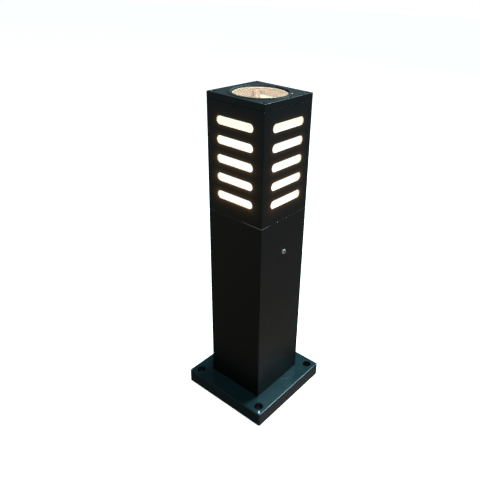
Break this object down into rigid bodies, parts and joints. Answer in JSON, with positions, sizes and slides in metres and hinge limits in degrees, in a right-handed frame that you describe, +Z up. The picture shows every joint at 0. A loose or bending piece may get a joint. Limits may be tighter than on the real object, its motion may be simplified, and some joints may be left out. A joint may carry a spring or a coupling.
{
  "type": "bollard light",
  "caption": "Square black bollard light: louvred head with opal diffusers and a round glass window in its cap, on a hollow post with a cast foot that bolts down.",
  "frame": {"origin": "middle of the foot's underside, on the ground", "axes": "+Z up the post; +X towards the side with the lock screw; +Y along the other side"},
  "size_m": [0.158, 0.158, 0.5],
  "materials": {
    "black_powder_coat": "semi-gloss black powder coat on cast and extruded aluminium",
    "zinc_plated_steel": "bright zinc plating",
    "stainless_steel": "bright stainless steel",
    "black_steel": "black oxide",
    "brass": "plain brass",
    "nickel_plated_brass": "nickel plated",
    "galvanised_steel": "galvanised sheet",
    "porcelain": "white glaze",
    "opal_acrylic": "opal, lit from behind",
    "opal_polycarbonate": "opal, lit from inside",
    "white_plastic": "moulded, matte",
    "grey_nylon": "moulded nylon",
    "black_rubber": "matte rubber",
    "clear_glass": "clear toughened glass",
    "brown_insulation": "extruded insulation",
    "blue_insulation": "extruded insulation",
    "green_insulation": "extruded insulation, green and yellow"
  },
  "bodies": {
    "post": {"base_casting": "black_powder_coat", "base_screw_1": "zinc_plated_steel", "base_screw_2": "zinc_plated_steel", "base_screw_3": "zinc_plated_steel", "base_screw_4": "zinc_plated_steel", "post_tube": "black_powder_coat", "gland_body": "grey_nylon", "gland_dome_nut": "grey_nylon", "gland_seal": "black_rubber", "gland_locknut": "grey_nylon", "earth_bolt": "brass", "earth_washer": "brass", "earth_nut": "brass", "earth_lug": "nickel_plated_brass", "gear_tray": "galvanised_steel", "tray_screw_1": "zinc_plated_steel", "tray_screw_2": "zinc_plated_steel", "terminal_block": "white_plastic", "terminal_barrel_1": "brass", "terminal_barrel_2": "brass", "terminal_barrel_3": "brass", "terminal_screw_1": "zinc_plated_steel", "terminal_screw_2": "zinc_plated_steel", "shelf_grommet": "black_rubber", "wire_live": "brown_insulation", "wire_neutral": "blue_insulation", "wire_earth": "green_insulation", "lamp_holder": "porcelain", "holder_shell": "brass", "holder_contact": "brass", "holder_screw_1": "zinc_plated_steel", "holder_screw_2": "zinc_plated_steel"},
    "lock": {"lock_screw": "stainless_steel"},
    "lamp": {"lamp_cap": "nickel_plated_brass", "lamp_housing": "white_plastic", "lamp_globe": "opal_polycarbonate"},
    "head": {"louvre_housing": "black_powder_coat", "head_spigot": "galvanised_steel", "spigot_screw_1": "zinc_plated_steel", "spigot_screw_2": "zinc_plated_steel", "spigot_screw_3": "zinc_plated_steel", "spigot_screw_4": "zinc_plated_steel", "diffuser_back": "opal_acrylic", "diffuser_left": "opal_acrylic", "diffuser_front": "opal_acrylic", "diffuser_right": "opal_acrylic", "cap_gasket": "black_rubber"},
    "cap": {"top_cap": "black_powder_coat", "cap_screw_1": "black_steel", "cap_screw_2": "black_steel", "cap_screw_3": "black_steel", "cap_screw_4": "black_steel", "glass_gasket": "black_rubber", "window_glass": "clear_glass", "bezel_ring": "black_powder_coat", "bezel_screw": "stainless_steel"}
  },
  "joints": [
    {"name": "head_lift", "type": "slide", "parent": "post", "child": "head", "axis": [0, 0, 1], "range_m": [0, 0.26]},
    {"name": "cap_lift", "type": "slide", "parent": "head", "child": "cap", "axis": [0, 0, 1], "range_m": [0, 0.05]},
    {"name": "lamp_turn", "type": "hinge", "parent": "post", "child": "lamp", "pos_m": [0, 0, 0.3277], "axis": [0, 0, 1], "range_deg": [0, 900]},
    {"name": "lock_screw_out", "type": "slide", "parent": "post", "child": "lock", "axis": [1, 0, 0], "range_m": [0, 0.006]}
  ]
}
